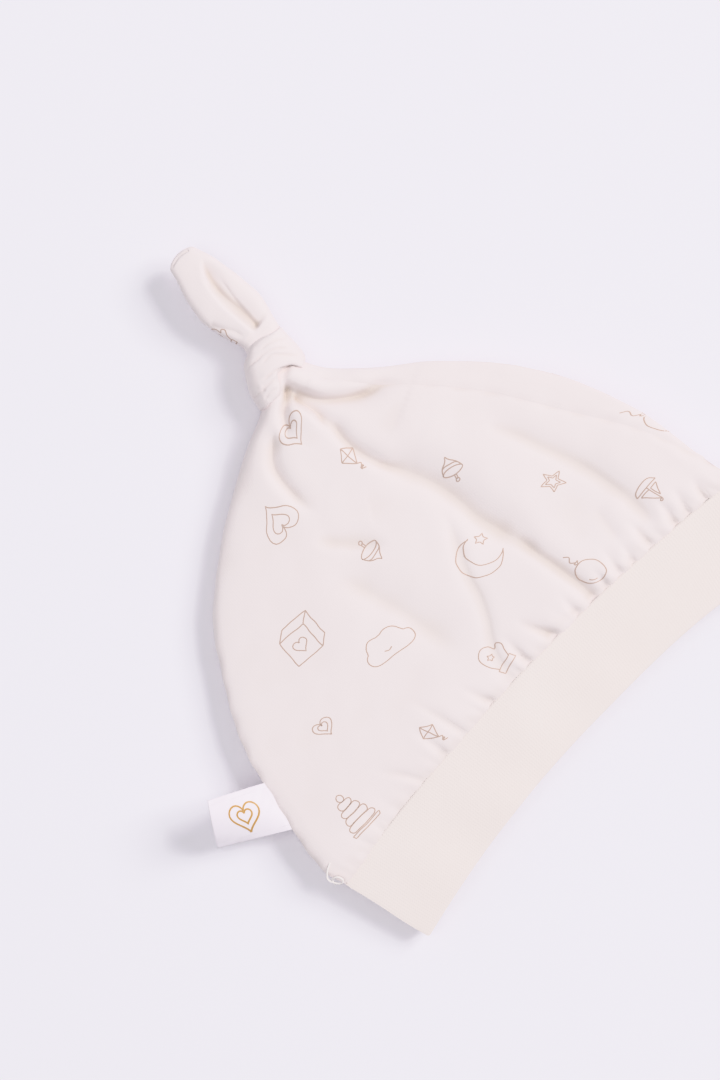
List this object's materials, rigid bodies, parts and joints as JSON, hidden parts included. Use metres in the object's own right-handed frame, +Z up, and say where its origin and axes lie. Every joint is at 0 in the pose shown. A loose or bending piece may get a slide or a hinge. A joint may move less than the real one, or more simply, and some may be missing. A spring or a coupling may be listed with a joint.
{
  "type": "newborn knotted beanie",
  "caption": "Soft cotton jersey baby hat lying flat: a pointed, lightly gathered crown tied in a knot at its tip, a folded rib band round the opening and a small ribbon label in one side seam.",
  "frame": {"origin": "on the surface that the hat lies on, under the middle of its bounding box", "axes": "+Y from the cuff towards the knot, +X across the hat towards its plain side, away from the label, +Z up through the front panel"},
  "size_m": [0.1764, 0.1858, 0.0182],
  "materials": {
    "jersey": "fine off-white cotton jersey, printed with thin taupe line motifs",
    "rib_band": "off-white cotton rib knit, folded double",
    "label_ribbon": "white woven satin ribbon"
  },
  "bodies": {
    "root": {"crown_front": "jersey", "crown_back": "jersey", "cuff": "rib_band", "knot": "jersey", "knot_tail": "jersey", "side_label": "label_ribbon"}
  },
  "joints": []
}
